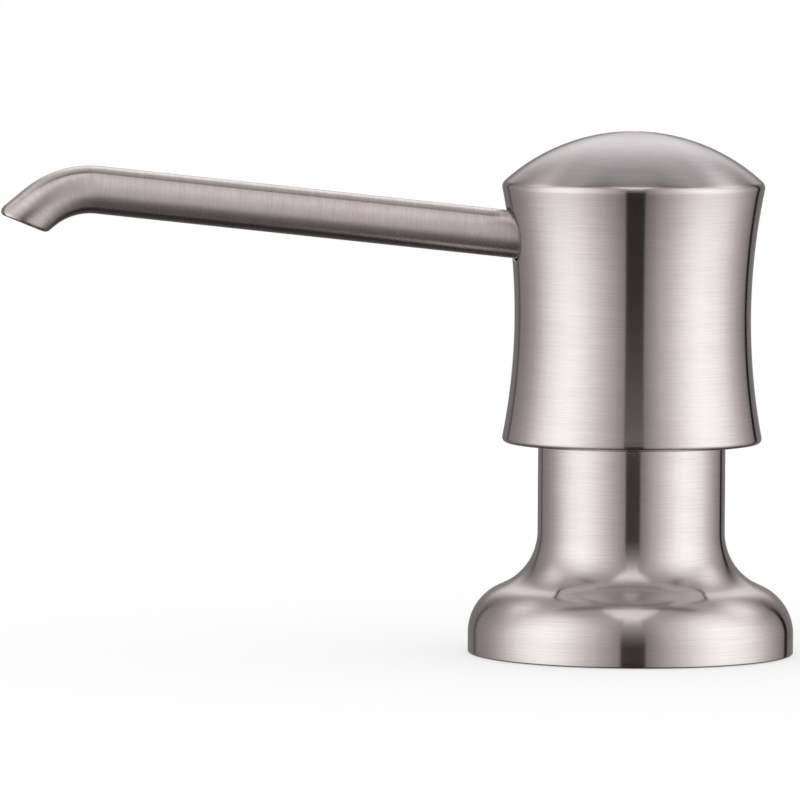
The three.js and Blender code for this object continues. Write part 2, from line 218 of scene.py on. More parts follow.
FERRULE_PITCH = 0.55
FERRULE_LEAD = 0.3  # plain stretch below the ferrule's thread
FERRULE_THREAD_END = 15.6

# Colours, linear
NICKEL = (0.67, 0.632, 0.618)
# Cooler nickel of the satin dome: painted light, the cool tint of the overhead lamps put into its
# colour
SATIN_NICKEL_PAINTED_COOL = (0.64, 0.63, 0.638)
SPOUT_NICKEL = (0.74, 0.69, 0.672)
STEEL = (0.62, 0.63, 0.64)
CAST_INSIDE = (0.2, 0.193, 0.187)
# Pale colour of the lower lining: painted light, standing in for light that reaches the gap over the
# neck
PAINTED_LIT_INSIDE = (0.8, 0.78, 0.77)
ACETAL = (0.82, 0.81, 0.77)
POLYMER = (0.27, 0.275, 0.28)
RUBBER = (0.018, 0.018, 0.019)
WHITE = (1.0, 1.0, 1.0)

# Surfaces
SATIN = 0.21  # roughness of the dome
SATIN_FADE = 2.5  # way over which the sleeve's metal turns satin and its colour turns to the dome's painted cooler tint
PAINTED_GLOW_TOP = 63  # height up to which the sleeve's lining is painted pale and glowing: painted light in the gap over the neck
# Glow of the lower lining, which is no lamp: painted light that brightens the gap over the neck
LINING_PAINTED_GLOW = 0.4
FINE_GRAIN = 2400.0
RUBBER_GRAIN = 3200.0
CLOUDS = 120.0
NOISE = (0.3, 0.7)  # range that most of a noise's values fall in
STREAKS = (0.35, 0.65)
QUARTER_TURN = 0.25
SCATTER_SHARES = (1.0, 0.9, 0.8)
SCATTER_DEPTH = 1.2

# Studio, as mirrored rays see it. A curve has stops of (degrees, level or share): PANELS goes
# round from the camera's side, BACK_PANEL over the top from front to back, the others upward.
PANELS = [
    (-180, 0.28), (-165, 0.22), (-150, 0.22), (-140, 0.27), (-130, 0.32), (-120, 0.41), (-110, 0.55),
    (-100, 0.78), (-90, 1.03), (-80, 1.22), (-70, 1.33), (-58, 1.31), (-45, 1.11),
    (-35, 0.89), (-25, 0.67), (-15, 0.47), (-7, 0.32), (10, 0.26), (25, 0.545), (35, 0.76),
    (45, 1.0), (55, 1.22), (65, 1.36), (75, 1.37), (90, 1.23), (100, 1.03), (110, 0.77),
    (120, 0.55), (135, 0.31), (150, 0.2), (180, 0.3),
]
PANELS_UPWARD = [
    (-90, 0.10), (-74, 0.10), (-57, 0.16), (-42, 0.29), (-34, 0.45), (-26, 0.66), (-18, 0.86),
    (-10, 0.96), (0, 1.0), (10, 1.03), (25, 1.03),
]
PANEL_SHARE = [(25, 1.0), (38, 0.83), (46, 0.65), (54, 0.38), (62, 0.1), (68, 0.0)]
SLIT_UPWARD = [
    (-90, 0.035), (-25, 0.032), (-8, 0.042), (4, 0.085), (15, 0.15), (22, 0.2), (30, 0.26),
    (38, 0.34), (46, 0.47), (54, 0.66), (62, 0.86), (70, 0.98),
]
CEILING = 0.47  # level where no panel is
BACK_PANEL = [
    (84, 0.4), (97, 0.4), (103, 0.36), (109, 0.38), (116, 0.55), (123, 0.76), (132, 0.98), (144, 1.15),
    (154, 1.05), (168, 0.7),
]

# Fades: (where there is nothing yet, where all is there), in degrees or, for SIDE and FRONT_END,
# as a component of the ray's direction. WIDER adds the half widths at both places.
BACK_START, BACK_END = (86, 90), (171, 161)
BACK_WIDER = (128, 150, 0, 0.09)
BACK_SIDE = (0.38, 0.05)
FRONT_LEVEL = 0.98
FRONT_START, FRONT_END = (54, 66), (-0.02, 0.04)
FRONT_WIDER = (56, 88, 0.1, 0.26)
FRONT_SIDE = (0.03, -0.03)
GAP_LEVEL = 0.1
GAP_START, GAP_END = (88, 91), (101, 97)
GAP_SIDE = (0.6, 0.35)
REACH = 36  # degrees that the side panels go further back, higher up
REACH_START, REACH_END = (20, 46), (59, 46)
REACH_TURN = (95, 125)
SLIT = (-7.0, 10.8)
SLIT_EDGE = 0.5
SLIT_END = (70, 60)
SEAMS = [(140.5, 148.5, 0.01), (-149.0, -142.0, 0.12)]  # (from, to, level)
SEAM_EDGE = 1
SEAM_END = (32, 12)
WARM = (1.0, 0.935, 0.925, 1.0)
WARM_LEVELS = (0.5, 1.3)
LEVEL_TOP = 1.6
FLOOR_SIZE = 60
FLOOR_DROP = 0.0001
FLOOR_GREY = 0.9
FLOOR_GLOW = 0.4

# Camera: a long lens from the front, slightly above
CAMERA_TURN = 12 * DEG
CAMERA_PLACE = (-311.9, -1467.2, 150.0)
CAMERA_TARGET = (-38.05, 8.09, 42.17)
CAMERA_ROLL = 0.0058
SENSOR = 36.0
LENS = 403.8
CLIP = (0.1, 100)

# Gasket, seals and clip: inner and outer radius, and both ends along the ring's axis
DECK_GASKET = (19.9, 23.6, 0.0, 1.4)
COLLAR_SEAL = (13.4, RIM_R, 41.4, 42.4)
STEM_WIPER = (4.15, 5.4, 43.0, 44.3)
PISTON_SEAL = (5.4, 6.85, 36.7, 38.1)
CORE_SEAL = (5.35, 6.4, 62.7, 63.9)
SPOUT_SEAL = (4.26, 5.2, 9.2, 10.3)
SWIVEL_RING = (5.5, POST_FLANGE, 58.9, 60.0)

SPOUT_LINE = (
    Matrix.Translation((0, 0, SPOUT_Z))
    @ Matrix.Rotation(SPOUT_RISE, 4, "Y")
    @ Matrix.Rotation(-90 * DEG, 4, "Y")
)


# ---------------- outlines

def arc(r, z, radius, start, end, step=3 * DEG):
    """Points of an arc round (r, z), both ends included."""
    count = max(2, math.ceil(abs(end - start) / step))
    turns = (start + (end - start) * i / count for i in range(count + 1))
    return [(r + radius * math.cos(t), z + radius * math.sin(t)) for t in turns]


def eased(outline, radius, closed=True):
    """The outline with each corner rounded, as far as its two sides leave room."""
    points = []
    count = len(outline)
    for i, (r, z) in enumerate(outline):
        here = Vector((r, z))
        if not closed and i in (0, count - 1):
            points.append((r, z))
            continue
        before = Vector(outline[i - 1]) - here
        after = Vector(outline[(i + 1) % count]) - here
        turn = math.pi - before.angle(after)
        if turn < EASE_LEAST:
            points.append((r, z))
            continue
        room = min(radius * math.tan(turn / 2), EASE_SHARE * min(before.length, after.length))
        start = here + before.normalized() * room
        end = here + after.normalized() * room
        for k in range(EASE_STEPS + 1):
            t = k / EASE_STEPS
            way = start * (1 - t) ** 2 + here * (2 * t * (1 - t)) + end * t ** 2
            points.append((way.x, way.y))
    return points


def divided(outline, longest, closed=True):
    """The outline with its long straight stretches cut into shorter ones."""
    points = []
    count = len(outline)
    for i, (r, z) in enumerate(outline):
        points.append((r, z))
        if i == count - 1 and not closed:
            break
        r2, z2 = outline[(i + 1) % count]
        cuts = math.ceil(math.hypot(r2 - r, z2 - z) / longest)
        points += [(r + (r2 - r) * k / cuts, z + (z2 - z) * k / cuts) for k in range(1, cuts)]
    return points


# ---------------- mesh building

class Skin:
    """Collects vertices in millimetres and faces with brushing coordinates.

    The UV map holds the turn round the piece's axis and the way along its outline, both of which
    the brushed materials use.
    """

    def __init__(self):
        self.points = []
        self.faces = []
        self.turns = []

    def point(self, x, y, z):
        self.points.append((x, y, z))
        return len(self.points) - 1

    def face(self, corners, uvs):
        self.faces.append(corners)
        self.turns.append(uvs)

    def finish(self, name, matrix=UP):
        mesh = bpy.data.meshes.new(name + SKIN)
        points = [(matrix @ Vector(p)) * MM for p in self.points]
        mesh.from_pydata(points, [], self.faces)
        layer = mesh.uv_layers.new(name="brushing")
        flat = [c for face in self.turns for uv in face for c in uv]
        layer.data.foreach_set("uv", flat)
        mesh.validate()
        smooth(mesh, SHARP)
        thing = bpy.data.objects.new(name + SKIN, mesh)
        bpy.context.scene.collection.objects.link(thing)
        outward(thing)
        return thing


def smooth(mesh, sharp):
    """Shades the mesh smooth, save at edges where two faces differ by more than the angle."""
    mesh.shade_smooth()
    mesh.set_sharp_from_angle(angle=sharp * DEG)


def outward(thing):
    """Turns the faces of a closed mesh to point out."""
    shape = bmesh.new()
    shape.from_mesh(thing.data)
    bmesh.ops.recalc_face_normals(shape, faces=shape.faces)
    shape.to_mesh(thing.data)
    shape.free()


def lengths(outline):
    """Way along the outline from its first point to each of its points."""
    way = [0.0]
    for (r, z), (r2, z2) in zip(outline, outline[1:]):
        way.append(way[-1] + math.hypot(r2 - r, z2 - z))
    return way


def lathed(skin, outline, sides, skipped=None):
    """Turns an outline round Z into the skin and returns its rings of vertices."""
    way = lengths(outline)
    turns = [2 * math.pi * k / sides for k in range(sides)]
    rings = []
    for r, z in outline:
        if r < TINY:
            rings.append([skin.point(0, 0, z)] * sides)
        else:
            rings.append([skin.point(r * math.cos(t), r * math.sin(t), z) for t in turns])
    if outline[0] == outline[-1]:
        rings[-1] = rings[0]
    for i in range(len(rings) - 1):
        for k in range(sides):
            if skipped and skipped(i, k):
                continue
            quad(skin, rings[i], rings[i + 1], k, (k / sides, way[i]), ((k + 1) / sides, way[i + 1]))
    return rings


def quad(skin, ring_a, ring_b, k, uv_a, uv_b):
    """Face between two rings, or a triangle where one of them is a point."""
    k2 = (k + 1) % len(ring_a)
    corners = [ring_a[k], ring_a[k2], ring_b[k2], ring_b[k]]
    uvs = [uv_a, (uv_b[0], uv_a[1]), uv_b, (uv_a[0], uv_b[1])]
    if corners[0] == corners[1]:
        del corners[0], uvs[0]
    elif corners[2] == corners[3]:
        del corners[3], uvs[3]
    skin.face(corners, uvs)


def bridged(skin, loop_a, loop_b, ways_a, ways_b):
    """Faces between two closed loops with the same number of vertices."""
    count = len(loop_a)
    for k in range(count):
        k2 = (k + 1) % count
        uvs = [ways_a[k], ways_a[k2], ways_b[k2], ways_b[k]]
        if uvs[1][0] < uvs[0][0] - 0.5:
            uvs[1] = (uvs[1][0] + 1, uvs[1][1])
            uvs[2] = (uvs[2][0] + 1, uvs[2][1])
        skin.face([loop_a[k], loop_a[k2], loop_b[k2], loop_b[k]], uvs)


def turned(name, outline, sides=96, matrix=UP, closed=True):
    """Solid of revolution; an open outline starts and ends on the axis."""
    skin = Skin()
    lathed(skin, outline + [outline[0]] if closed else outline, sides)
    return skin.finish(name, matrix)


def ring(inner, outer, z0, z1, ease=0.15):
    """Section of a flat ring with rounded corners."""
    return eased([(inner, z0), (outer, z0), (outer, z1), (inner, z1)], ease)


def oval(inner, outer, z0, z1):
    """Section of a soft ring."""
    middle_r, middle_z = (inner + outer) / 2, (z0 + z1) / 2
    half_r, half_z = (outer - inner) / 2, (z1 - z0) / 2
    points = []
    for i in range(OVAL_SIDES):
        t = 2 * math.pi * i / OVAL_SIDES
        c, s = math.cos(t), math.sin(t)
        bulge = (abs(c) ** OVAL_POWER + abs(s) ** OVAL_POWER) ** (-1 / OVAL_POWER)
        points.append((middle_r + half_r * c * bulge, middle_z + half_z * s * bulge))
    return points


def threaded(r, z0, z1, pitch, depth):
    """Crests and roots of a fine thread, as rings, on a wall at radius r."""
    count = round(abs(z1 - z0) / pitch)
    step = (z1 - z0) / count
    points = []
    for i in range(count):
        z = z0 + i * step
        points += [(r, z), (r, z + 0.2 * step)]
        points += [(r + depth, z + 0.5 * step), (r + depth, z + 0.7 * step)]
    points.append((r, z1))
    return points


def combined(body, operation, tools):
    """The body joined with the tools or cut by them; the tools are removed."""
    for tool in tools:
        step = body.modifiers.new(operation.lower(), "BOOLEAN")
        step.operation = operation
        step.solver = "EXACT"
        step.object = tool
    graph = bpy.context.evaluated_depsgraph_get()
    mesh = bpy.data.meshes.new_from_object(body.evaluated_get(graph))
    body.modifiers.clear()
    body.data = mesh
    for tool in tools:
        bpy.data.objects.remove(tool)
    smooth(mesh, CUT_SHARP)
    return body


def bar(radius, z0, z1, matrix=UP, sides=64):
    """Round bar to cut with or to join on."""
    outline = [(0, z0), (radius, z0), (radius, z1), (0, z1)]
    return turned("tool", outline, sides, matrix, closed=False)


# ---------------- deck flange

def bell():
    """From the flange's upright edge to the neck: convex round, short slope, flare."""
    cos, sin = math.cos(SHOULDER_TURN), math.sin(SHOULDER_TURN)
    reach = SHOULDER_R + FLARE_R
    slope = (FLANGE_R - NECK_R - reach * (1 - cos)) / sin
    centre_r = FLANGE_R - SHOULDER_R
    flare_r = centre_r + reach * cos - slope * sin
    flare_z = EDGE_Z + reach * sin + slope * cos
    return [
        *arc(centre_r, EDGE_Z, SHOULDER_R, 0, SHOULDER_TURN, FINE_STEP),
        *arc(flare_r, flare_z, FLARE_R, math.pi + SHOULDER_TURN, math.pi, FINE_STEP),
    ]


def flange_outline():
    neck = [
        (NECK_R, 0.75 * NECK_TOP),
        (NECK_R, NECK_TOP),
        (NECK_BORE, NECK_TOP),
        (NECK_BORE, 0.5 * NECK_TOP),
    ]
    outside = [
        *arc(FLANGE_R - EDGE_ROUND, EDGE_ROUND, EDGE_ROUND, -90 * DEG, 0, 15 * DEG),
        *bell(),
        *eased(neck, BROAD_EASE, closed=False),
    ]
    inside = [
        (NECK_BORE, SEAT_Z),
        (SHOULDER_BORE, SEAT_Z),
        (SHOULDER_BORE, SOCKET_TOP),
        *threaded(SOCKET_R, SOCKET_TOP, SOCKET_LEAD, THREAD_PITCH, THREAD_DEPTH),
        (SOCKET_R + SOCKET_LEAD, 0),
        (GROOVE_IN, 0),
        (GROOVE_IN, GROOVE_DEEP),
        (GROOVE_OUT, GROOVE_DEEP),
        (GROOVE_OUT, 0),
    ]
    return divided(outside + inside, FLANGE_PIECE)


def neck_liner_outline():
    outer, foot, lip = NECK_BORE - GAP, SEAT_Z + CONTACT, NECK_TOP + CONTACT
    return eased([
        (LINER_IN, foot),
        (outer, foot),
        (outer, lip),
        (RIM_R, lip),
        (RIM_R, lip + LINER_LIP),
        (LINER_IN, lip + LINER_LIP),
    ], SMALL_EASE)


# ---------------- pump

def collar_outline():
    inner, skirt = CYLINDER_R + GAP, LINER_IN - GAP
    return eased([
        (inner, COLLAR_FOOT),
        (skirt, COLLAR_FOOT),
        (skirt, COLLAR_LIP),
        (RIM_R, COLLAR_LIP),
        (RIM_R, COLLAR_TOP),
        (inner, COLLAR_TOP),
    ], SMALL_EASE)


def cylinder_outline():
    outline = [
        (FOOT_BORE, SPIGOT_Z),
        (SPIGOT_R, SPIGOT_Z),
        (SPIGOT_R, SPIGOT_TOP),
        (BARB_R, SPIGOT_TOP),
        (CYLINDER_R, CONE_TOP),
        (CYLINDER_R, CYLINDER_TOP),
        (CYLINDER_BORE, CYLINDER_TOP),
        (CYLINDER_BORE, LEDGE_Z),
        (CHAMBER_R, LEDGE_Z),
        (CHAMBER_R, CHAMBER_Z),
        (FOOT_BORE, INLET_SEAT),
    ]
    return divided(eased(outline, BROAD_EASE), ENGINE_PIECE)


def ball_cage():
    rim, foot = CYLINDER_BORE - GAP, LEDGE_Z + CONTACT
    plug = turned("ball_cage", eased([
        (0, foot),
        (rim, foot),
        (rim, CAGE_TOP),
        (NUB_FOOT_R, CAGE_TOP),
        (NUB_R, NUB_TOP),
        (0, NUB_TOP),
    ], SMALL_EASE, closed=False), closed=False)
    ports = []
    for i in range(PORTS):
        turn = Matrix.Rotation(2 * math.pi * i / PORTS, 4, "Z")
        place = turn @ Matrix.Translation((PORT_RING, 0, 0))
        ports.append(bar(PORT_R, LEDGE_Z - CUT_PAST, NUB_TOP + CUT_PAST, place, PORT_SIDES))
    return combined(plug, "DIFFERENCE", ports)


def spring_line(t):
    """Turns and height of the spring's wire at share t of its length; the end coils lie close."""
    end = SPRING_END_TURNS / SPRING_TURNS
    low = CAGE_TOP + SPRING_WIRE + CONTACT
    high = PISTON_Z - SPRING_WIRE - CONTACT
    close = SPRING_END_TURNS * 2 * SPRING_WIRE * SPRING_CLOSE
    if t < end:
        z = low + close * t / end
    elif t > 1 - end:
        z = high - close * (1 - t) / end
    else:
        z = low + close + (high - low - 2 * close) * (t - end) / (1 - 2 * end)
    return t * SPRING_TURNS * 2 * math.pi, z


def return_spring():
    skin = Skin()
    steps = round(SPRING_TURNS * WIRE_STEPS)
    rings = []
    for i in range(steps + 1):
        turn, z = spring_line(i / steps)
        out = Vector((math.cos(turn), math.sin(turn), 0))
        centre = out * SPRING_R + Vector((0, 0, z))
        loop = []
        for k in range(WIRE_SIDES):
            a = 2 * math.pi * k / WIRE_SIDES
            rise = Vector((0, 0, SPRING_WIRE * math.sin(a)))
            loop.append(skin.point(*(centre + out * (SPRING_WIRE * math.cos(a)) + rise)))
        rings.append(loop)
    length = 2 * math.pi * SPRING_R * SPRING_TURNS / steps
    for i in range(steps):
        for k in range(WIRE_SIDES):
            k2 = (k + 1) % WIRE_SIDES
            u, u2 = k / WIRE_SIDES, (k + 1) / WIRE_SIDES
            skin.face(
                [rings[i][k], rings[i][k2], rings[i + 1][k2], rings[i + 1][k]],
                [(u, i * length), (u2, i * length), (u2, (i + 1) * length), (u, (i + 1) * length)],
            )
    for loop in (rings[0], rings[-1]):
        skin.face(list(loop), [(0, 0)] * WIRE_SIDES)
    return skin.finish("return_spring")


def guide_outline():
    bore, plug = STEM_R + GAP, CYLINDER_BORE - GAP
    return eased([
        (bore, GUIDE_FOOT),
        (plug, GUIDE_FOOT),
        (plug, GUIDE_LIP),
        (HUB_R, GUIDE_LIP),
        (HUB_R, GUIDE_TOP),
        (bore, GUIDE_TOP),
        (bore, GUIDE_LIP),
        (GUIDE_GROOVE_R, GUIDE_LIP),
        (GUIDE_GROOVE_R, GUIDE_GROOVE_Z),
        (bore, GUIDE_GROOVE_Z),
    ], FINE_EASE)


def ball(name, seat, seat_z):
    """Valve ball just above the rim of its round seat."""
    centre = seat_z + math.sqrt(BALL_R ** 2 - seat ** 2) + CONTACT
    outline = arc(0, centre, BALL_R, -90 * DEG, 90 * DEG, 5 * DEG)
    outline[0], outline[-1] = (0, centre - BALL_R), (0, centre + BALL_R)
    return turned(name, outline, BALL_SIDES, closed=False)


# ---------------- plunger

def stem_outline():
    foot = PISTON_Z + PISTON_H + 2 * CONTACT
    return divided(eased([
        (STEM_SOCKET_R, foot),
        (STEM_R, foot),
        (STEM_R, STEM_TOP),
        (STEM_BORE, STEM_TOP),
        (STEM_BORE, STEM_SOCKET_TOP),
        (STEM_SOCKET_R, STEM_SOCKET_TOP),
    ], FINE_EASE), ENGINE_PIECE)


def piston_outline():
    top = PISTON_Z + PISTON_H
    return eased([
        (PISTON_BORE, PISTON_Z),
        (PISTON_R, PISTON_Z),
        (PISTON_R, PISTON_Z + RING_LOW),
        (RING_ROOT, PISTON_Z + RING_LOW),
        (RING_ROOT, PISTON_Z + RING_HIGH),
        (PISTON_R, PISTON_Z + RING_HIGH),
        (PISTON_R, top),
        (PISTON_SPIGOT, top),
        (PISTON_SPIGOT, top + PISTON_SPIGOT_H),
        (PISTON_BORE, top + PISTON_SPIGOT_H),
    ], FINE_EASE)


def stem_cap_outline():
    inner, chamber, seat = STEM_R + GAP / 2, CHAMBER_R - 2 * CONTACT, STEM_TOP + CONTACT
    return eased([
        (inner, HUB_Z),
        (POST_R, HUB_Z),
        (POST_R, POST_FLANGE_Z),
        (POST_FLANGE, POST_FLANGE_Z),
        (POST_FLANGE, POST_FLANGE_TOP),
        (POST_R, POST_FLANGE_TOP),
        (POST_R, POST_TOP),
        (POST_DUCT, POST_TOP),
        (POST_DUCT, POST_CHAMBER_TOP),
        (chamber, POST_CHAMBER_TOP),
        (chamber, seat),
        (inner, seat),
    ], FINE_EASE)


# ---------------- head

def wall_radius(z, depth=0.0):
    """Radius of the waisted wall at height z, at a depth below its outer face."""
    curve = WAIST_CURVE + depth
    return WAIST_R + WAIST_CURVE - math.sqrt(curve ** 2 - (z - WAIST_Z) ** 2)


def crossing(a, b, x, y):
    """Upper point where the circle of radius a round the origin meets that of b round (x, y)."""
    far = math.hypot(x, y)
    along = (far ** 2 + a ** 2 - b ** 2) / (2 * far)
    aside = math.sqrt(a ** 2 - along ** 2)
    return (x * along - y * aside) / far, (y * along + x * aside) / far


def wall_rows(low, high, depth):
    """Outline of the wall between two heights, with the rows of the spout hole's patch in it."""
    rows = []
    for z0, z1, count in (
        (low, PATCH_LOW, math.ceil(PATCH_LOW - low)),
        (PATCH_LOW, PATCH_HIGH, PATCH_CELLS),
        (PATCH_HIGH, high, math.ceil(high - PATCH_HIGH)),
    ):
        rows += [z0 + (z1 - z0) * i / count for i in range(count)]
    rows.append(high)
    return [(wall_radius(z, depth), z) for z in rows]


def head_outside():
    curve_r = WAIST_R + WAIST_CURVE
    corner_r, corner_z = crossing(
        DOME_R - DOME_ROUND, WAIST_CURVE + DOME_ROUND, curve_r, WAIST_Z - DOME_Z,
    )
    wall_turn = math.atan2(corner_z - (WAIST_Z - DOME_Z), curve_r - corner_r)
    dome_turn = math.atan2(corner_z, corner_r)
    foot_z = SLEEVE_Z + SLEEVE_ROUND
    foot_turn = math.asin((WAIST_Z - foot_z) / (WAIST_CURVE + SLEEVE_ROUND))
    foot_r = curve_r - (WAIST_CURVE + SLEEVE_ROUND) * math.cos(foot_turn)
    foot = arc(foot_r, foot_z, SLEEVE_ROUND, -90 * DEG, foot_turn, 9 * DEG)
    brow = arc(corner_r, corner_z + DOME_Z, DOME_ROUND, -wall_turn, dome_turn, 5 * DEG)
    dome = arc(0, DOME_Z, DOME_R, dome_turn, 90 * DEG, 1.5 * DEG)
    return [*foot, *wall_rows(foot[-1][1], brow[0][1], 0)[1:-1], *brow, *dome[1:-1], (0, DOME_TOP)]


def head_inside():
    curve_r, lining, dome_r = WAIST_R + WAIST_CURVE, WAIST_CURVE + WALL, DOME_R - WALL
    corner_r, corner_z = crossing(dome_r, lining, curve_r, WAIST_Z - DOME_Z)
    dome_turn = math.atan2(corner_z, corner_r)
    dome = arc(0, DOME_Z, dome_r, 90 * DEG, dome_turn, 4 * DEG)
    wall = wall_rows(SLEEVE_Z, corner_z + DOME_Z, WALL)[::-1]
    return [(0, DOME_TOP - WALL), *dome[1:-1], *wall]


def dome_way():
    """Way along the shell's outline, from the inside of its top, to where the dome starts."""
    outline = head_inside() + head_outside()
    off = [abs(math.hypot(r, z - DOME_Z) - DOME_R) for r, z in outline]
    return lengths(outline)[next(i for i, gap in enumerate(off) if gap < TINY)]


def hole_point(phi, radius, depth, back=0.0):
    """Point on the spout hole's rim: where a line along the spout meets the wall's face."""
    along = Vector((-math.cos(SPOUT_RISE), 0, math.sin(SPOUT_RISE)))
    across = Vector((0, -1, 0))
    over = Vector((math.sin(SPOUT_RISE), 0, math.cos(SPOUT_RISE)))
    start = Vector((0, 0, SPOUT_Z)) + radius * (math.cos(phi) * across + math.sin(phi) * over)
    near, far = WALL_SEARCH
    for _ in range(HALVINGS):
        middle = (near + far) / 2
        p = start + along * middle
        if math.hypot(p.x, p.y) < wall_radius(p.z, depth):
            near = middle
        else:
            far = middle
    return start + along * (near - back)


def head_shell():
    """Shell with its spout hole: the wall's grid is replaced, round the hole, by rings."""
    inside, outside = head_inside(), head_outside()
    outline = inside + outside
    way = lengths(outline)
    half = PATCH_CELLS // 2
    middle = SHELL_SIDES // 2
    columns = range(middle - half, middle + half)
    inner_low, outer_low = (i for i, (_, z) in enumerate(outline) if abs(z - PATCH_LOW) < TINY)
    rows = {*range(outer_low, outer_low + PATCH_CELLS), *range(inner_low - PATCH_CELLS, inner_low)}
    skin = Skin()
    rings = lathed(skin, outline, SHELL_SIDES, lambda i, k: i in rows and k in columns)

    rims = []
    for low, step, depth in ((outer_low, 1, 0.0), (inner_low, -1, WALL)):
        high = low + step * PATCH_CELLS
        corners = [(low, k) for k in range(columns[0], columns[-1] + 1)]
        corners += [(low + step * i, columns[-1] + 1) for i in range(PATCH_CELLS)]
        corners += [(high, k) for k in range(columns[-1] + 1, columns[0], -1)]
        corners += [(high - step * i, columns[0]) for i in range(PATCH_CELLS)]
        hole_z = hole_point(0, 0, depth).z
        loop = [rings[i][k] for i, k in corners]
        ways = [(k / SHELL_SIDES, way[i]) for i, k in corners]
        phis, ends = [], []
        rim = SPOUT_HOLE_R + (RIM_EASE if depth == 0 else 0)
        for i, k in corners:
            r, z = outline[i]
            turn = 2 * math.pi * k / SHELL_SIDES
            phi = math.atan2(z - hole_z, r * (turn - math.pi))
            end = hole_point(phi, rim, depth)
            phis.append(phi)
            ends.append((math.atan2(end.y, end.x) % (2 * math.pi), end.z))
        starts = [(2 * math.pi * k / SHELL_SIDES, outline[i][1]) for i, k in corners]
        rate = (way[high] - way[low]) / (PATCH_HIGH - PATCH_LOW)
        for s in range(1, PATCH_RINGS + 1):
            t = s / PATCH_RINGS
            next_loop, next_ways = [], []
            for (turn0, z0), (turn1, z1) in zip(starts, ends):
                turn, z = turn0 + (turn1 - turn0) * t, z0 + (z1 - z0) * t
                r = wall_radius(z, depth)
                next_loop.append(skin.point(r * math.cos(turn), r * math.sin(turn), z))
                next_ways.append((turn / (2 * math.pi), way[low] + (z - PATCH_LOW) * rate))
            bridged(skin, loop, next_loop, ways, next_ways)
            loop, ways = next_loop, next_ways
        rims.append((loop, ways, phis))

    (loop, ways, phis), (inner_loop, inner_ways, _) = rims
    for grow, back in RIM_ROWS:
        next_loop = [skin.point(*hole_point(phi, SPOUT_HOLE_R + grow, 0, back)) for phi in phis]
        bridged(skin, loop, next_loop, ways, ways)
        loop = next_loop
    bridged(skin, loop, inner_loop, ways, inner_ways)
    shell = skin.finish("head_shell")

    # The outside keeps the first material; the lining has the second, and low down the third, which is
    # painted pale and glowing as painted light in the gap over the neck.
    uvs = shell.data.uv_layers["brushing"].data
    for face in shell.data.polygons:
        middle = sum(uvs[i].uv.y for i in face.loop_indices) / face.loop_total
        if middle < way[len(inside) - 1]:
            face.material_index = 1 if face.center.z > PAINTED_GLOW_TOP * MM else 2
    return shell


def actuator_core():
    body = turned("actuator_core", eased([
        (0, HUB_Z),
        (HUB_R, HUB_Z),
        (HUB_R, DISC_Z),
        (DISC_R, DISC_Z),
        (DISC_R, CORE_TOP),
        (0, CORE_TOP),
    ], SMALL_EASE, closed=False), closed=False)
    combined(body, "UNION", [bar(BOSS_R, 0, BOSS_END, SPOUT_LINE, SPOUT_SIDES)])
    duct = Matrix.Translation((0, 0, DUCT_RISE)) @ SPOUT_LINE
    flange_room = POST_FLANGE_TOP + GAP
    _, seal_r, seal_z, seal_top = CORE_SEAL
    _, spout_seal_r, seal_in, seal_out = SPOUT_SEAL
    return combined(body, "DIFFERENCE", [
        bar(POST_FLANGE + GAP, HUB_Z - CUT_PAST, flange_room),
        bar(POST_R + GAP, flange_room - CUT_PAST, POST_TOP + GAP),
        bar(seal_r + GAP, seal_z - SEAL_ROOM, seal_top + SEAL_ROOM),
        bar(POST_DUCT, POST_TOP, DUCT_TOP),
        bar(POST_DUCT, -CUT_PAST, SPOUT_START, duct),
        bar(SPOUT_R + GAP, SPOUT_START - GAP, BOSS_END + BOSS_CLEAR, SPOUT_LINE),
        bar(spout_seal_r + GAP, seal_in - GAP, seal_out + GAP, SPOUT_LINE),
        bar(FERRULE_R + GAP, FERRULE_IN - GAP, BOSS_END + BOSS_CLEAR, SPOUT_LINE),
    ])


def spout_frame(way):
    """Centre and upward side of the spout at a distance along its centre line."""
    straight = BEND_X / math.cos(SPOUT_RISE)
    run = min(way, straight)
    turn = min(max((way - straight) / BEND_R, 0), BEND_TURN)
    tip = max(way - straight - BEND_R * BEND_TURN, 0)
    heading = SPOUT_RISE - turn
    out = run * math.cos(SPOUT_RISE) + BEND_R * (math.sin(SPOUT_RISE) - math.sin(heading))
    up = run * math.sin(SPOUT_RISE) + BEND_R * (math.cos(heading) - math.cos(SPOUT_RISE))
    out += tip * math.cos(heading)
    up += tip * math.sin(heading)
    return Vector((-out, 0, SPOUT_Z + up)), Vector((math.sin(heading), 0, math.cos(heading)))


def spout_stations():
    """(distance, lean) of rings along the spout, its whole length and the mouth's lean.

    The rings lean more and more towards the mouth, until they run parallel to its slanted cut.
    """
    straight = BEND_X / math.cos(SPOUT_RISE)
    bend = BEND_R * BEND_TURN
    stations = []
    count = math.ceil((straight - SPOUT_START) / SPOUT_PIECE)
    stations += [(SPOUT_START + (straight - SPOUT_START) * i / count, 0) for i in range(count)]
    count = math.ceil(BEND_TURN / BEND_STEP)
    stations += [(straight + bend * i / count, 0) for i in range(count)]
    lean = math.tan(TIP_CUT)
    tip = TIP_LENGTH - MOUTH_EASE
    for i in range(TIP_ROWS):
        stations.append((straight + bend + tip * i / TIP_ROWS, lean * i / TIP_ROWS))
    return stations, straight + bend + TIP_LENGTH, lean


def lip_grinder(end, lean):
    """A function that moves a point back to the round of the mouth's upper corner."""
    centre, over = spout_frame(end + lean * SPOUT_R)
    corner = centre + SPOUT_R * over
    back = Vector((over.z, 0, -over.x))
    down = (lean * back - over).normalized()
    middle = (back + down).normalized()
    half = middle.angle(back)
    pivot = corner + middle * (LIP_ROUND / math.sin(half))

    def ground(p):
        arm = Vector((p.x - pivot.x, 0, p.z - pivot.z))
        if arm.length > LIP_ROUND and arm.angle(-middle) < 90 * DEG - half:
            arm *= LIP_ROUND / arm.length
        return Vector((pivot.x + arm.x, p.y, pivot.z + arm.z))

    return ground


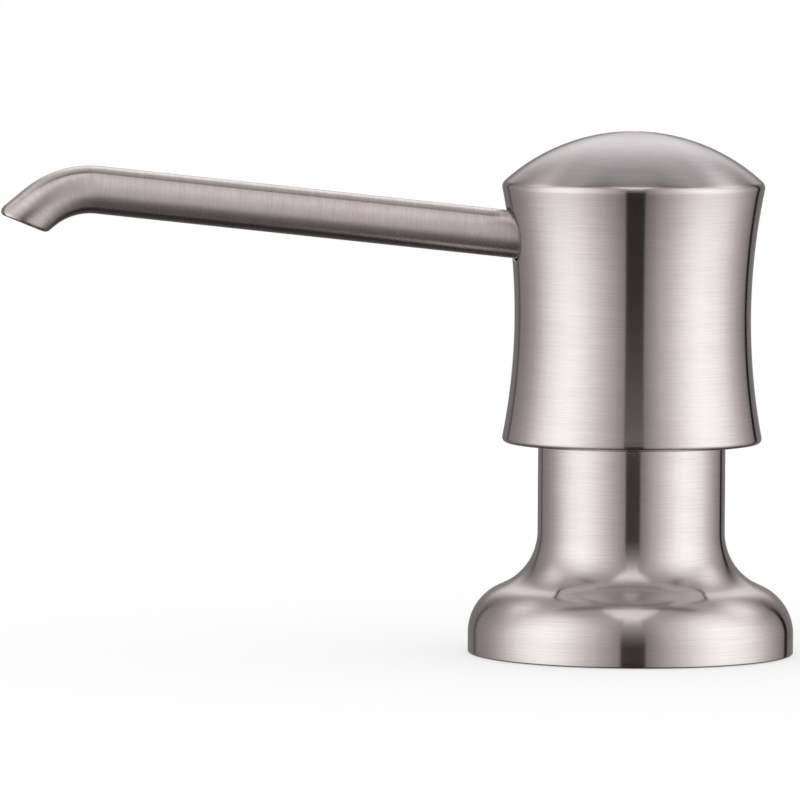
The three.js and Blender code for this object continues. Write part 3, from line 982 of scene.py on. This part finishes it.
def spout_tube():
    stations, end, lean = spout_stations()
    ground = lip_grinder(end, lean)
    outer = [(way, SPOUT_R, tilt) for way, tilt in stations]
    rim = arc(SPOUT_R - MOUTH_EASE, end - MOUTH_EASE, MOUTH_EASE, 0, 90 * DEG, 15 * DEG)
    mouth = [(way, radius, lean) for radius, way in rim]
    mouth += [
        (end, SPOUT_BORE + MOUTH_INNER_EASE, lean),
        (end - MOUTH_INNER_EASE, SPOUT_BORE, lean),
    ]
    bore = [(way, SPOUT_BORE, tilt) for way, tilt in stations[::-1]]
    path = outer + mouth + bore
    skin = Skin()
    side = Vector((0, 1, 0))
    rings = []
    for way, radius, tilt in path:
        loop = []
        for k in range(SPOUT_SIDES):
            phi = 2 * math.pi * k / SPOUT_SIDES
            centre, over = spout_frame(way + tilt * radius * math.sin(phi))
            p = ground(centre + radius * (math.cos(phi) * side + math.sin(phi) * over))
            loop.append(skin.point(*p))
        rings.append(loop)
    rings.append(rings[0])
    path.append(path[0])
    run = 0.0
    for i in range(len(rings) - 1):
        step = abs(path[i + 1][0] - path[i][0]) + abs(path[i + 1][1] - path[i][1])
        ways = [(k / SPOUT_SIDES, run) for k in range(SPOUT_SIDES)]
        next_ways = [(k / SPOUT_SIDES, run + step) for k in range(SPOUT_SIDES)]
        bridged(skin, rings[i], rings[i + 1], ways, next_ways)
        run += step
    return skin.finish("spout_tube")


def ferrule_outline():
    inner, root = SPOUT_R + GAP, FERRULE_R - FERRULE_THREAD
    thread_start = FERRULE_IN + FERRULE_LEAD
    return [
        (inner, FERRULE_IN),
        (root, FERRULE_IN),
        *threaded(root, thread_start, FERRULE_THREAD_END, FERRULE_PITCH, FERRULE_THREAD),
        (root, FERRULE_OUT),
        (inner, FERRULE_OUT),
    ]


# ---------------- materials

class Graph:
    """Shorthand for writing a node tree."""

    def __init__(self, tree):
        self.tree = tree
        tree.nodes.clear()

    def node(self, kind, inputs=None, **settings):
        made = self.tree.nodes.new("ShaderNode" + kind)
        for key, value in settings.items():
            setattr(made, key, value)
        for key, value in (inputs or {}).items():
            self.put(made.inputs[key], value)
        return made

    def put(self, socket, value):
        if isinstance(value, bpy.types.NodeSocket):
            self.tree.links.new(value, socket)
        else:
            socket.default_value = value

    def maths(self, operation, *values):
        made = self.node("Math", operation=operation)
        for socket, value in zip(made.inputs, values):
            self.put(socket, value)
        return made.outputs[0]

    def product(self, first, *others):
        for other in others:
            first = self.maths("MULTIPLY", first, other)
        return first

    def between(self, value, low, high, out_low=0.0, out_high=1.0, smooth=True):
        """The value mapped from one range to another, and held beyond its ends."""
        made = self.node(
            "MapRange",
            {"Value": value, "From Min": low, "From Max": high, "To Min": out_low, "To Max": out_high},
            interpolation_type="SMOOTHSTEP" if smooth else "LINEAR",
            clamp=True,
        )
        return made.outputs["Result"]

    def profile(self, value, stops):
        """Level read off a curve of (place, level) stops."""
        low, high = stops[0][0], stops[-1][0]
        place = self.between(value, low, high, smooth=False)
        ramp = self.node("ValToRGB", {"Fac": place})
        band = ramp.color_ramp
        band.interpolation = "CARDINAL"
        while len(band.elements) > 1:
            band.elements.remove(band.elements[-1])
        for i, (x, level) in enumerate(stops):
            at = (x - low) / (high - low)
            stop = band.elements.new(at) if i else band.elements[0]
            stop.position = at
            grey = level / LEVEL_TOP
            stop.color = (grey, grey, grey, 1)
        return self.maths("MULTIPLY", ramp.outputs["Color"], LEVEL_TOP)

    def noise(self, vector, scale=1.0, detail=2.0):
        made = self.node("TexNoise", {"Vector": vector, "Scale": scale, "Detail": detail})
        return made.outputs[0]


def material(name, colour, metallic, roughness):
    made = bpy.data.materials.new(name)
    made.use_nodes = True
    graph = Graph(made.node_tree)
    skin = graph.node(
        "BsdfPrincipled",
        {"Base Color": (*colour, 1), "Metallic": metallic, "Roughness": roughness},
    )
    out = graph.node("OutputMaterial")
    graph.tree.links.new(skin.outputs["BSDF"], out.inputs["Surface"])
    return made, graph, skin


def brushing(graph, around, along):
    """Place on a lathed surface, stretched so that noise in it runs in lines round the axis."""
    uv = graph.node("UVMap", uv_map="brushing").outputs["UV"]
    split = graph.node("SeparateXYZ", {"Vector": uv})
    turn = graph.maths("MULTIPLY", split.outputs["X"], 2 * math.pi)
    x = graph.maths("MULTIPLY", graph.maths("COSINE", turn), around)
    y = graph.maths("MULTIPLY", graph.maths("SINE", turn), around)
    z = graph.maths("MULTIPLY", split.outputs["Y"], along)
    return graph.node("CombineXYZ", {"X": x, "Y": y, "Z": z}).outputs["Vector"]


def tinted(graph, colour, level):
    """The colour, lighter or darker by a level near 1."""
    made = graph.node("Mix", data_type="RGBA", blend_type="MULTIPLY")
    graph.put(made.inputs["Factor"], 1.0)
    graph.put(made.inputs[6], (*colour, 1))
    graph.put(made.inputs[7], level)
    return made.outputs[2]


def blended(graph, share, low, high):
    """low, moving to high as share goes from 0 to 1."""
    made = graph.node("Mix", data_type="FLOAT")
    graph.put(made.inputs[0], share)
    graph.put(made.inputs[2], low)
    graph.put(made.inputs[3], high)
    return made.outputs[0]


def brushed_nickel(
    name, colour, roughness=0.15, streak=0.055, stretch=0.92, lines=(3.0, 7.0), satin_from=None,
):
    """Metal brushed in lines round the piece; satin_from is the way along it where it turns satin and
    its colour turns cooler, a painted tint of cool overhead light.
    """
    made, graph, skin = material(name, colour, 1.0, roughness)
    fine = graph.noise(brushing(graph, *lines), detail=3.0)
    broad = graph.noise(brushing(graph, 1.2, 0.35))
    spread = blended(graph, 0.7, broad, fine)
    level = graph.between(spread, *STREAKS, 1 - streak, 1 + streak, smooth=False)
    base = tinted(graph, colour, level)
    rough = graph.between(fine, *NOISE, roughness + 0.02, roughness - 0.02, smooth=False)
    if satin_from is not None:
        place = graph.node("UVMap", uv_map="brushing").outputs["UV"]
        way = graph.node("SeparateXYZ", {"Vector": place})
        satin_and_painted_cool = graph.between(way.outputs["Y"], satin_from, satin_from + SATIN_FADE)
        rough = blended(graph, satin_and_painted_cool, rough, SATIN)
        # Past satin_from the roughness turns satin, and the colour turns cooler as painted cool
        # overhead light
        plain = base
        base = graph.node("Mix", {"Factor": satin_and_painted_cool}, data_type="RGBA").outputs[2]
        graph.put(base.node.inputs[6], plain)
        graph.put(base.node.inputs[7], tinted(graph, SATIN_NICKEL_PAINTED_COOL, level))
    graph.put(skin.inputs["Base Color"], base)
    graph.put(skin.inputs["Roughness"], rough)
    graph.put(skin.inputs["Anisotropic"], stretch)
    graph.put(skin.inputs["Anisotropic Rotation"], QUARTER_TURN)
    tangent = graph.node("Tangent", direction_type="UV_MAP", uv_map="brushing")
    graph.put(skin.inputs["Tangent"], tangent.outputs["Tangent"])
    return made


def drawn_steel(name, roughness, streak):
    """Steel with faint lines along the way that it was drawn or turned."""
    made, graph, skin = material(name, STEEL, 1.0, roughness)
    lines = graph.noise(brushing(graph, 4.0, 0.6), detail=3.0)
    level = graph.between(lines, *NOISE, 1 - streak, 1.0, smooth=False)
    graph.put(skin.inputs["Base Color"], tinted(graph, STEEL, level))
    rough = graph.between(lines, *NOISE, roughness + 0.05, roughness - 0.03, smooth=False)
    graph.put(skin.inputs["Roughness"], rough)
    return made


def moulded(name, colour, roughness, grain, depth, scatter=0.0, glow=0.0):
    """Plastic or rubber with a fine moulded grain."""
    made, graph, skin = material(name, colour, 0.0, roughness)
    place = graph.node("TexCoord").outputs["Object"]
    specks = graph.noise(place, scale=grain, detail=2.0)
    clouds = graph.noise(place, scale=CLOUDS, detail=1.0)
    level = graph.between(clouds, *NOISE, 0.95, 1.0, smooth=False)
    graph.put(skin.inputs["Base Color"], tinted(graph, colour, level))
    rough = graph.between(specks, *NOISE, roughness - 0.05, roughness + 0.05, smooth=False)
    graph.put(skin.inputs["Roughness"], rough)
    bump = graph.node("Bump", {"Height": specks, "Strength": 0.25, "Distance": depth * MM})
    graph.put(skin.inputs["Normal"], bump.outputs["Normal"])
    # glow is an emission on a part that is no lamp: painted light
    if glow:
        graph.put(skin.inputs["Emission Color"], (*colour, 1))
        graph.put(skin.inputs["Emission Strength"], glow)
    if scatter:
        graph.put(skin.inputs["Subsurface Weight"], scatter)
        graph.put(skin.inputs["Subsurface Radius"], SCATTER_SHARES)
        graph.put(skin.inputs["Subsurface Scale"], SCATTER_DEPTH * MM)
    return made


looks = {
    "flange_nickel": brushed_nickel("flange_nickel", NICKEL),
    "head_nickel": brushed_nickel("head_nickel", NICKEL, satin_from=dome_way()),
    "spout_nickel": brushed_nickel("spout_nickel", SPOUT_NICKEL, 0.26, 0.08, 0.98, (0.8, 3.4)),
    "cast_inside": moulded("cast_inside", CAST_INSIDE, 0.55, FINE_GRAIN, 0.05),
    # Lower lining, painted pale and glowing: painted light in the gap over the neck
    "pale_inside": moulded("pale_inside", PAINTED_LIT_INSIDE, 0.55, FINE_GRAIN, 0.05, glow=LINING_PAINTED_GLOW),
    "bright_steel": drawn_steel("bright_steel", 0.08, 0.04),
    "spring_steel": drawn_steel("spring_steel", 0.24, 0.12),
    "white_acetal": moulded("white_acetal", ACETAL, 0.36, FINE_GRAIN, 0.03, scatter=0.25),
    "grey_polymer": moulded("grey_polymer", POLYMER, 0.42, FINE_GRAIN, 0.04),
    "black_rubber": moulded("black_rubber", RUBBER, 0.6, RUBBER_GRAIN, 0.06),
}


# ---------------- assembly

def placed(thing, body, slot):
    """Puts a piece on its CAD body, in place of the CAD node that it is named after."""
    node = thing.name.removesuffix(SKIN)
    thing.data.materials.append(looks[slot])
    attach(thing, body)
    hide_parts(node)
    return thing


placed(turned("base_flange", flange_outline(), FLANGE_SIDES), "base", "flange_nickel")
placed(turned("deck_gasket", ring(*DECK_GASKET, ease=0.3), SHELL_SIDES), "base", "black_rubber")
placed(turned("neck_liner", neck_liner_outline(), ENGINE_SIDES), "base", "white_acetal")

placed(turned("pump_collar", collar_outline(), ENGINE_SIDES), "pump", "grey_polymer")
placed(turned("collar_seal", oval(*COLLAR_SEAL), ENGINE_SIDES), "pump", "black_rubber")
placed(turned("cylinder", cylinder_outline(), ENGINE_SIDES), "pump", "white_acetal")
placed(ball_cage(), "pump", "grey_polymer")
spring = placed(return_spring(), "pump", "spring_steel")
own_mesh(spring)
placed(turned("stem_guide", guide_outline()), "pump", "grey_polymer")
placed(turned("stem_wiper", oval(*STEM_WIPER)), "pump", "black_rubber")

placed(ball("inlet_ball", FOOT_BORE, INLET_SEAT), "inlet_valve", "bright_steel")

placed(turned("stem", stem_outline()), "plunger", "white_acetal")
placed(turned("piston", piston_outline()), "plunger", "grey_polymer")
placed(turned("piston_seal", oval(*PISTON_SEAL)), "plunger", "black_rubber")
placed(turned("stem_cap", stem_cap_outline()), "plunger", "white_acetal")

placed(ball("outlet_ball", STEM_BORE, STEM_TOP), "outlet_valve", "bright_steel")

shell = placed(head_shell(), "head", "head_nickel")
shell.data.materials.append(looks["cast_inside"])
# Third material: the lower lining's painted light
shell.data.materials.append(looks["pale_inside"])
placed(actuator_core(), "head", "white_acetal")
spout = placed(spout_tube(), "head", "spout_nickel")
spout.visible_glossy = False  # the other pieces don't mirror it
placed(turned("spout_seal", oval(*SPOUT_SEAL), matrix=SPOUT_LINE), "head", "black_rubber")
placed(turned("spout_ferrule", ferrule_outline(), matrix=SPOUT_LINE), "head", "bright_steel")
placed(turned("core_seal", oval(*CORE_SEAL)), "head", "black_rubber")
placed(turned("swivel_ring", ring(*SWIVEL_RING)), "head", "spring_steel")


# ---------------- studio

def studio_light():
    """Soft light all round, with tall panels that only mirrored rays see.

    Angles are in degrees: round the pump from the camera's side, and above the horizon.
    """
    world = bpy.data.worlds.new("studio")
    bpy.context.scene.world = world
    world.use_nodes = True
    world.cycles.sampling_method = "NONE"
    graph = Graph(world.node_tree)
    way = graph.node("TexCoord").outputs["Generated"]
    facing = graph.node(
        "VectorRotate",
        {"Vector": way, "Axis": (0, 0, 1), "Angle": CAMERA_TURN},
        rotation_type="AXIS_ANGLE",
    )
    split = graph.node("SeparateXYZ", {"Vector": facing.outputs["Vector"]})
    x, y, z = (split.outputs[axis] for axis in "XYZ")
    front = graph.maths("MULTIPLY", y, -1)
    signed = graph.maths("DEGREES", graph.maths("ARCTAN2", x, front))
    turn = graph.maths("ABSOLUTE", signed)
    rise = graph.maths("DEGREES", graph.maths("ARCSINE", z))
    over = graph.maths("DEGREES", graph.maths("ARCTAN2", z, front))

    # Higher up, the side panels reach further back.
    reach = graph.product(
        graph.between(rise, *REACH_START),
        graph.between(turn, *REACH_TURN),
        graph.between(rise, *REACH_END),
        graph.maths("SIGN", signed),
        REACH,
    )
    around = graph.profile(graph.maths("SUBTRACT", signed, reach), PANELS)
    upward = graph.profile(rise, PANELS_UPWARD)
    panels = graph.maths("MULTIPLY", around, upward)
    level = blended(graph, graph.profile(rise, PANEL_SHARE), CEILING, panels)

    # Dark slit in front, between the panels, and the narrow seams behind them.
    low, high = SLIT
    slit = graph.product(
        graph.between(signed, low - SLIT_EDGE, low + SLIT_EDGE),
        graph.between(signed, high + SLIT_EDGE, high - SLIT_EDGE),
        graph.between(rise, *SLIT_END),
    )
    level = blended(graph, slit, level, graph.profile(rise, SLIT_UPWARD))
    for low, high, grey in SEAMS:
        seam = graph.product(
            graph.between(signed, low, low + SEAM_EDGE),
            graph.between(signed, high, high - SEAM_EDGE),
            graph.between(rise, *SEAM_END),
        )
        level = blended(graph, seam, level, grey)

    # Overhead panel in front, and another high up behind.
    aside = graph.maths("ABSOLUTE", x)
    beyond = graph.maths("SUBTRACT", aside, graph.between(rise, *FRONT_WIDER, smooth=False))
    patch = graph.product(
        graph.between(rise, *FRONT_START),
        graph.between(beyond, *FRONT_SIDE),
        graph.between(front, *FRONT_END),
    )
    level = blended(graph, patch, level, FRONT_LEVEL)
    beyond = graph.maths("SUBTRACT", aside, graph.between(over, *BACK_WIDER))
    patch = graph.product(
        graph.between(over, *BACK_START),
        graph.between(over, *BACK_END),
        graph.between(beyond, *BACK_SIDE),
    )
    level = blended(graph, patch, level, graph.profile(over, BACK_PANEL))

    # Dark gap between those two.
    gap = graph.product(
        graph.between(over, *GAP_START),
        graph.between(over, *GAP_END),
        graph.between(aside, *GAP_SIDE),
    )
    level = blended(graph, gap, level, GAP_LEVEL)

    # The darker parts of the room are a little warmer.
    warm = graph.node("Mix", {"Factor": graph.between(level, *WARM_LEVELS)}, data_type="RGBA")
    graph.put(warm.inputs[6], WARM)
    graph.put(warm.inputs[7], (*WHITE, 1))
    light = graph.node("Mix", {"Factor": 1.0}, data_type="RGBA", blend_type="MULTIPLY")
    graph.put(light.inputs[6], warm.outputs[2])
    graph.put(light.inputs[7], level)

    rays = graph.node("LightPath").outputs["Is Glossy Ray"]
    plain = graph.node("Background", {"Color": (*WHITE, 1)})
    mirrored = graph.node("Background", {"Color": light.outputs[2]})
    both = graph.node("MixShader", {"Fac": rays})
    graph.tree.links.new(plain.outputs[0], both.inputs[1])
    graph.tree.links.new(mirrored.outputs[0], both.inputs[2])
    out = graph.node("OutputWorld")
    graph.tree.links.new(both.outputs[0], out.inputs["Surface"])


def floor():
    """Pale floor that shows a soft shadow and isn't mirrored in the metal.

    Where no shadow falls, its glow brings it up to the white of the background.
    """
    made = bpy.data.materials.new("floor_paper")
    made.use_nodes = True
    graph = Graph(made.node_tree)
    shaded = graph.node("BsdfDiffuse", {"Color": (FLOOR_GREY, FLOOR_GREY, FLOOR_GREY, 1)})
    rest = (1 - (1 - FLOOR_GLOW) * FLOOR_GREY) / FLOOR_GLOW
    glow = graph.node("Emission", {"Color": (*WHITE, 1), "Strength": rest})
    both = graph.node("MixShader", {"Fac": FLOOR_GLOW})
    graph.tree.links.new(shaded.outputs[0], both.inputs[1])
    graph.tree.links.new(glow.outputs[0], both.inputs[2])
    out = graph.node("OutputMaterial")
    graph.tree.links.new(both.outputs[0], out.inputs["Surface"])
    bpy.ops.mesh.primitive_plane_add(size=FLOOR_SIZE, location=(0, 0, -FLOOR_DROP))
    plane = bpy.context.object
    plane.name = "floor"
    plane.data.materials.append(made)
    plane.visible_glossy = False


def camera():
    """Camera with a long lens, from the front and slightly above."""
    place = Vector(CAMERA_PLACE) * MM
    forward = (Vector(CAMERA_TARGET) * MM - place).normalized()
    right = forward.cross(Vector((0, 0, 1))).normalized()
    over = right.cross(forward)
    c, s = math.cos(CAMERA_ROLL), math.sin(CAMERA_ROLL)
    turned_right, turned_over = c * right + s * over, c * over - s * right
    data = bpy.data.cameras.new("camera")
    data.sensor_width = SENSOR
    data.lens = LENS
    data.clip_start, data.clip_end = CLIP
    seen = bpy.data.objects.new("camera", data)
    bpy.context.scene.collection.objects.link(seen)
    axes = Matrix((turned_right, turned_over, -forward)).transposed().to_4x4()
    seen.matrix_world = Matrix.Translation(place) @ axes
    bpy.context.scene.camera = seen


studio_light()
floor()
camera()
bpy.context.scene.view_settings.view_transform = "Standard"
